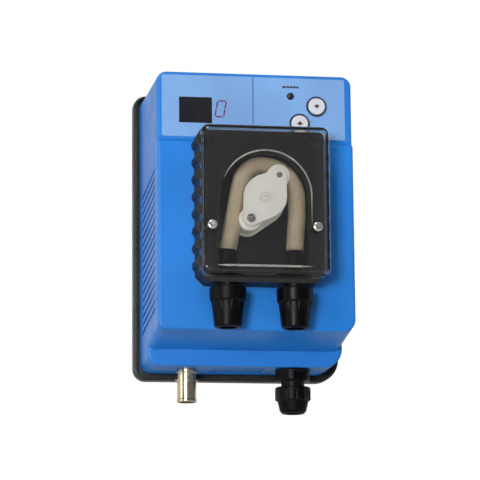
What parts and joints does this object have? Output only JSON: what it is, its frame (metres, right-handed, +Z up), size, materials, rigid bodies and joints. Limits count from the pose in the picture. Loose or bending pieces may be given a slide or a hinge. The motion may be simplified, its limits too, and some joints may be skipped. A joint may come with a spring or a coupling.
{
  "type": "peristaltic pump",
  "caption": "Wall-mounted peristaltic dosing pump with two-roller head under a clear cover, gear motor, display with push buttons, hose nuts, signal socket and cable gland.",
  "frame": {"origin": "centre of the back plate's rear face, on the wall", "axes": "+Z up, the pump faces -Y away from the wall, +X to the right seen from the front"},
  "size_m": [0.148, 0.1333, 0.2328],
  "materials": {
    "black_abs": "moulded black ABS, satin",
    "black_fitting": "black moulded polypropylene or nylon",
    "black_head": "black glass filled plastic",
    "black_rubber": "soft black rubber",
    "black_steel": "steel with a black oxide finish",
    "blue_abs": "moulded blue ABS, satin gloss",
    "blue_ring": "dark blue ring",
    "bronze": "sintered bronze",
    "chrome_steel": "bright plated screw head",
    "circuit_board": "green solder resist",
    "clear_cover": "clear polycarbonate, glossy",
    "coil_tape": "yellow insulating tape over the winding",
    "cream_acetal": "cream acetal, satin",
    "fuse_glass": "glass fuse tube",
    "green_terminal": "green terminal plastic",
    "label_film": "light blue polyester film, satin",
    "led_red": "dark red LED lens, unlit",
    "nickel": "nickel plated brass",
    "red_segment": "lit red display segments",
    "smoked_window": "smoked polycarbonate, glossy",
    "steel": "zinc plated steel",
    "tan_tube": "beige thermoplastic rubber tube",
    "white_button": "white button cap, satin",
    "white_nylon": "natural nylon",
    "zinc": "plated pressed steel"
  },
  "bodies": {
    "case": {"back_plate": "black_abs", "bnc_body": "nickel", "bnc_contact": "bronze", "bnc_insulator": "white_nylon", "bnc_nut": "nickel", "button_rings": "blue_ring", "clamp_ring_left": "black_rubber", "clamp_ring_right": "black_rubber", "control_board": "circuit_board", "control_board_pillars": "white_nylon", "cover_screws": "chrome_steel", "display_digit": "red_segment", "display_module": "black_abs", "display_window": "smoked_window", "front_housing": "blue_abs", "fuse": "fuse_glass", "fuse_clips": "steel", "gearbox_case": "zinc", "gearbox_lid": "zinc", "gearbox_screws": "steel", "gland_body": "black_fitting", "gland_dome_nut": "black_fitting", "gland_locknut": "black_fitting", "gland_seal": "black_rubber", "head_screws": "black_steel", "hose_connector_left": "black_fitting", "hose_connector_right": "black_fitting", "hose_nut_left": "black_fitting", "hose_nut_right": "black_fitting", "housing_gasket": "black_rubber", "housing_screws": "steel", "idler_axle": "steel", "label_panel": "label_film", "motor_can": "zinc", "motor_end_cap": "black_abs", "output_bushes": "bronze", "power_board": "circuit_board", "power_board_pillars": "white_nylon", "pump_cover": "clear_cover", "pump_head_body": "black_head", "pump_tube": "tan_tube", "status_led": "led_red", "tact_switches": "black_abs", "terminal_block": "green_terminal", "transformer_coil": "coil_tape", "transformer_core": "steel"},
    "rotor": {"output_gear": "white_nylon", "output_shaft": "steel", "rotor_rear_plate": "cream_acetal", "rotor_front_plate": "cream_acetal", "rotor_screw": "cream_acetal", "roller_pins": "steel"},
    "roller_a": {"roller_a": "cream_acetal"},
    "roller_b": {"roller_b": "cream_acetal"},
    "idler": {"idler_gear": "white_nylon"},
    "motor_rotor": {"motor_shaft": "steel", "motor_pinion": "bronze"},
    "button_up": {"button_up": "white_button"},
    "button_down": {"button_down": "white_button"}
  },
  "joints": [
    {"name": "rotor_spin", "type": "hinge", "parent": "case", "child": "rotor", "pos_m": [0.0015, -0.1, 0.0075], "axis": [0, -1, 0], "continuous": true, "deforming": ["pump_tube"]},
    {"name": "idler_spin", "type": "hinge", "parent": "case", "child": "idler", "pos_m": [0.0015, -0.08, -0.0165], "axis": [0, -1, 0], "continuous": true},
    {"name": "motor_spin", "type": "hinge", "parent": "case", "child": "motor_rotor", "pos_m": [0.0015, -0.075, -0.0405], "axis": [0, -1, 0], "continuous": true},
    {"name": "roller_a_spin", "type": "hinge", "parent": "rotor", "child": "roller_a", "pos_m": [0.01141, -0.1136, 0.02276], "axis": [0, -1, 0], "continuous": true},
    {"name": "roller_b_spin", "type": "hinge", "parent": "rotor", "child": "roller_b", "pos_m": [-0.00841, -0.1136, -0.00776], "axis": [0, -1, 0], "continuous": true},
    {"name": "button_up_press", "type": "slide", "parent": "case", "child": "button_up", "axis": [0, 1, 0], "range_m": [0, 0.0006], "stiffness_N_per_m": 1500, "springref_m": -0.0006},
    {"name": "button_down_press", "type": "slide", "parent": "case", "child": "button_down", "axis": [0, 1, 0], "range_m": [0, 0.0006], "stiffness_N_per_m": 1500, "springref_m": -0.0006}
  ],
  "couplings": [
    {"joint": "idler_spin", "follows": "rotor_spin", "ratio": -4},
    {"joint": "motor_spin", "follows": "rotor_spin", "ratio": 16},
    {"joint": "roller_a_spin", "follows": "rotor_spin", "ratio": -3.275},
    {"joint": "roller_b_spin", "follows": "rotor_spin", "ratio": -3.275}
  ]
}
